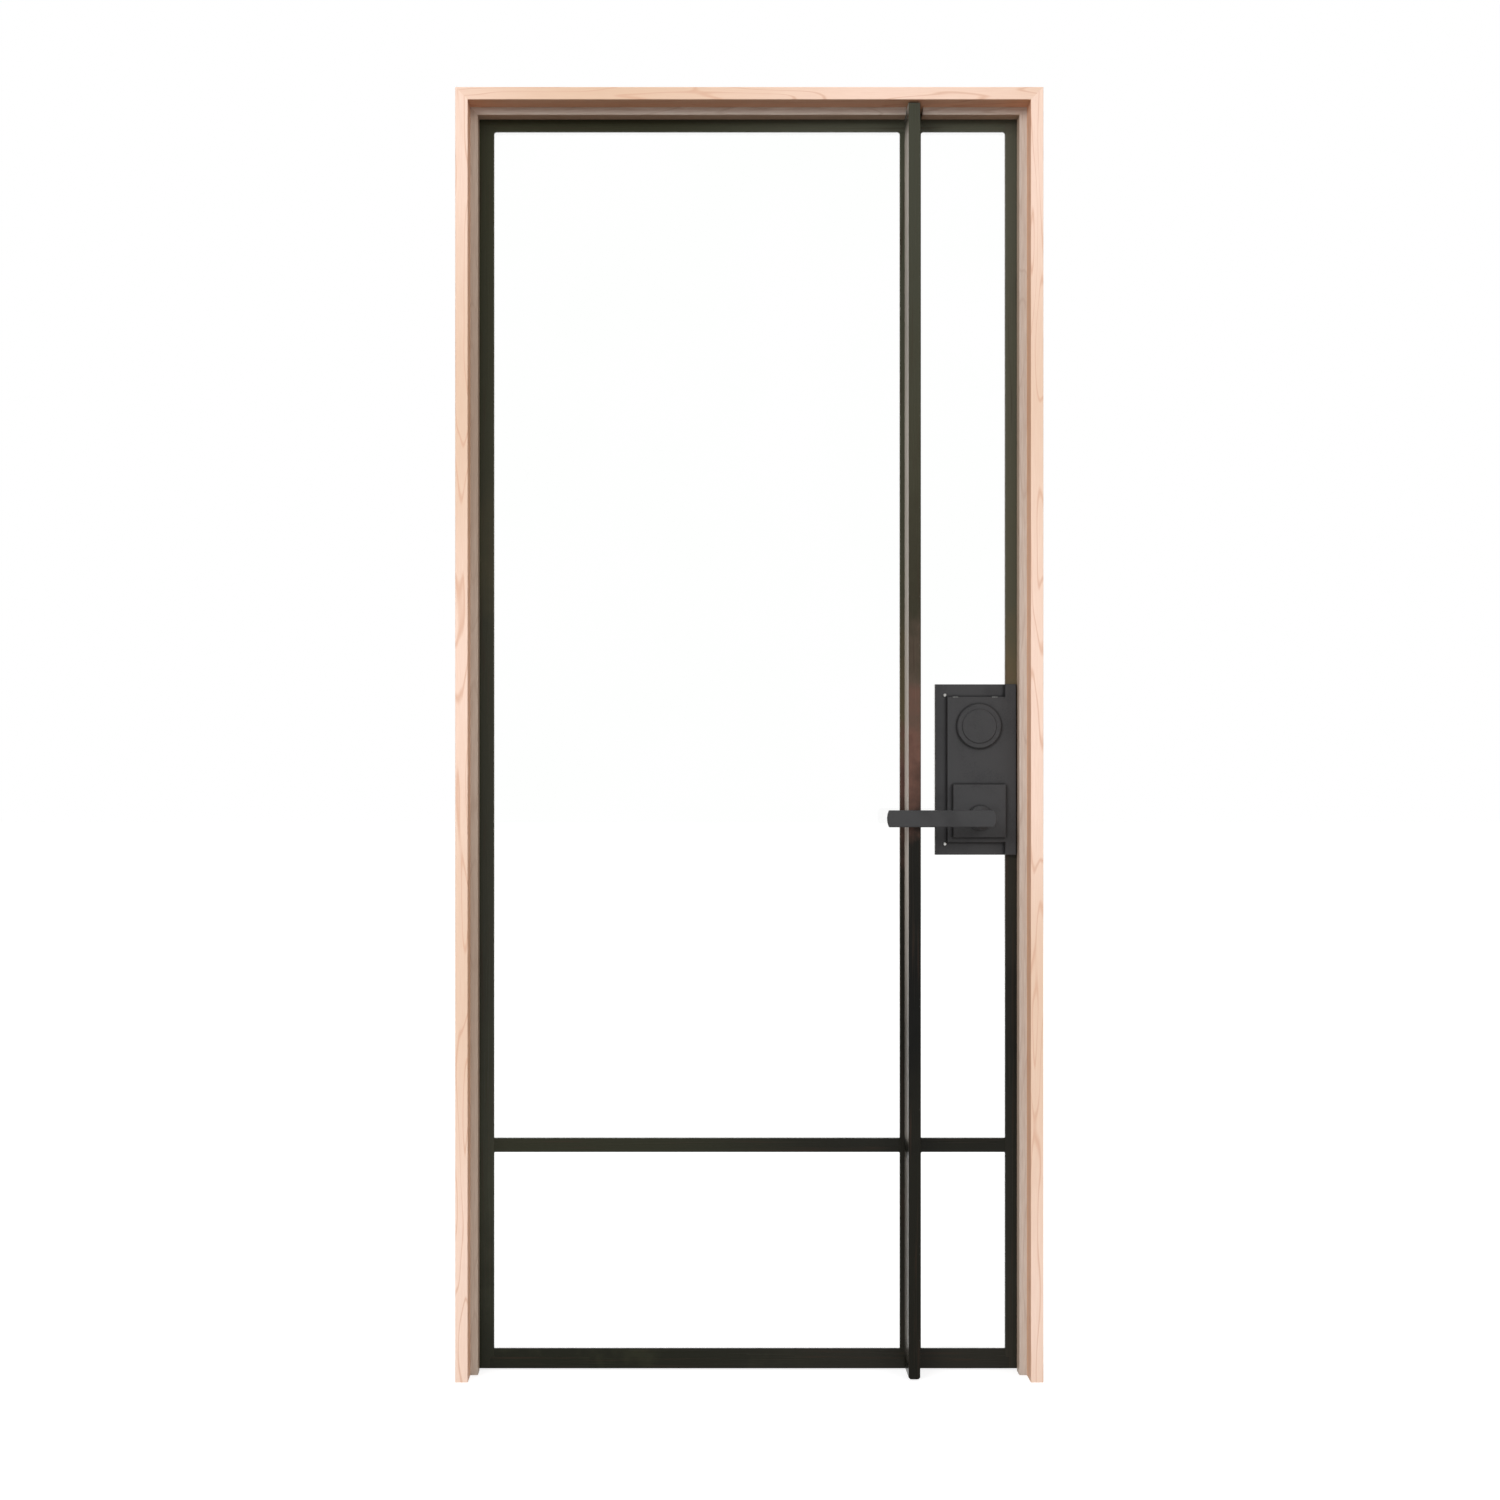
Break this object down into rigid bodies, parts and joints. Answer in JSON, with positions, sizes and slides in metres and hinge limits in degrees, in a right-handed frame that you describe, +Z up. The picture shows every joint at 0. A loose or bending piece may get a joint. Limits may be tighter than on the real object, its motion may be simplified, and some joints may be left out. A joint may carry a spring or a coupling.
{
  "type": "metal interior door",
  "caption": "Black steel framed glass door with a projecting fin, lever lock and deadbolt, hung in a pale timber frame.",
  "frame": {"origin": "on the floor, in the middle of the doorway's width and of the leaf's thickness", "axes": "+X to the lock side, +Y the way the leaf opens, +Z up"},
  "size_m": [0.961, 0.204, 2.1165],
  "materials": {
    "jamb_timber": "satin lacquer",
    "stop_timber": "matt stain",
    "black_steel": "satin paint",
    "lock_grey": "satin coating",
    "clear_glass": "clear",
    "seal_rubber": "matt",
    "satin_steel": "satin",
    "block_plastic": "matt"
  },
  "bodies": {
    "frame": {"hinge_jamb": "jamb_timber", "strike_jamb": "jamb_timber", "head_jamb": "jamb_timber", "hinge_side_stop": "stop_timber", "strike_side_stop": "stop_timber", "head_stop": "stop_timber", "door_seal": "seal_rubber", "latch_strike_plate": "satin_steel", "deadbolt_strike_plate": "satin_steel", "frame_hinge_leaf_top": "black_steel", "frame_hinge_leaf_middle": "black_steel", "frame_hinge_leaf_bottom": "black_steel", "hinge_pins": "black_steel"},
    "door_leaf": {"hinge_stile": "black_steel", "lock_stile": "black_steel", "top_rail": "black_steel", "bottom_rail": "black_steel", "mid_rail_wide": "black_steel", "mid_rail_narrow": "black_steel", "mullion": "black_steel", "mullion_fin": "black_steel", "glass_upper_wide": "clear_glass", "glass_upper_narrow": "clear_glass", "glass_lower_wide": "clear_glass", "glass_lower_narrow": "clear_glass", "glazing_tape": "seal_rubber", "setting_blocks": "block_plastic", "glazing_beads_upper_wide": "black_steel", "glazing_beads_upper_narrow": "black_steel", "glazing_beads_lower_wide": "black_steel", "glazing_beads_lower_narrow": "black_steel", "door_hinge_leaf_top": "black_steel", "door_hinge_leaf_middle": "black_steel", "door_hinge_leaf_bottom": "black_steel", "hinge_reinforcements": "black_steel", "lock_box": "black_steel", "front_lock_plate": "lock_grey", "rear_lock_plate": "lock_grey", "front_lever_rose": "lock_grey", "rear_lever_rose": "lock_grey", "front_bolt_rose": "lock_grey", "front_bolt_disc": "lock_grey", "rear_bolt_rose": "lock_grey", "latch_case": "satin_steel", "latch_faceplate": "satin_steel", "deadbolt_case": "satin_steel", "deadbolt_faceplate": "satin_steel"},
    "lever_set": {"front_lever": "lock_grey", "rear_lever": "lock_grey", "spindle": "satin_steel"},
    "latch": {"latch_bolt": "satin_steel"},
    "turn_set": {"thumb_turn": "lock_grey", "tailpiece": "satin_steel"},
    "dead_latch": {"deadbolt": "satin_steel"}
  },
  "joints": [
    {"name": "door_swing", "type": "hinge", "parent": "frame", "child": "door_leaf", "pos_m": [-0.4585, 0.032, 1], "axis": [0, 0, 1], "range_deg": [0, 110]},
    {"name": "lever_turn", "type": "hinge", "parent": "door_leaf", "child": "lever_set", "pos_m": [0.383, 0, 0.921], "axis": [0, -1, 0], "range_deg": [0, 45], "stiffness_Nm_per_rad": 2, "springref_deg": -51.57},
    {"name": "latch_slide", "type": "slide", "parent": "door_leaf", "child": "latch", "axis": [-1, 0, 0], "range_m": [0, 0.012]},
    {"name": "thumb_turn_spin", "type": "hinge", "parent": "door_leaf", "child": "turn_set", "pos_m": [0.383, 0, 1.073], "axis": [0, -1, 0], "range_deg": [0, 90]},
    {"name": "deadbolt_slide", "type": "slide", "parent": "door_leaf", "child": "dead_latch", "axis": [1, 0, 0], "range_m": [0, 0.022]}
  ],
  "couplings": [
    {"joint": "latch_slide", "follows": "lever_turn", "m_per_rad": 0.01527},
    {"joint": "deadbolt_slide", "follows": "thumb_turn_spin", "m_per_rad": 0.014}
  ]
}
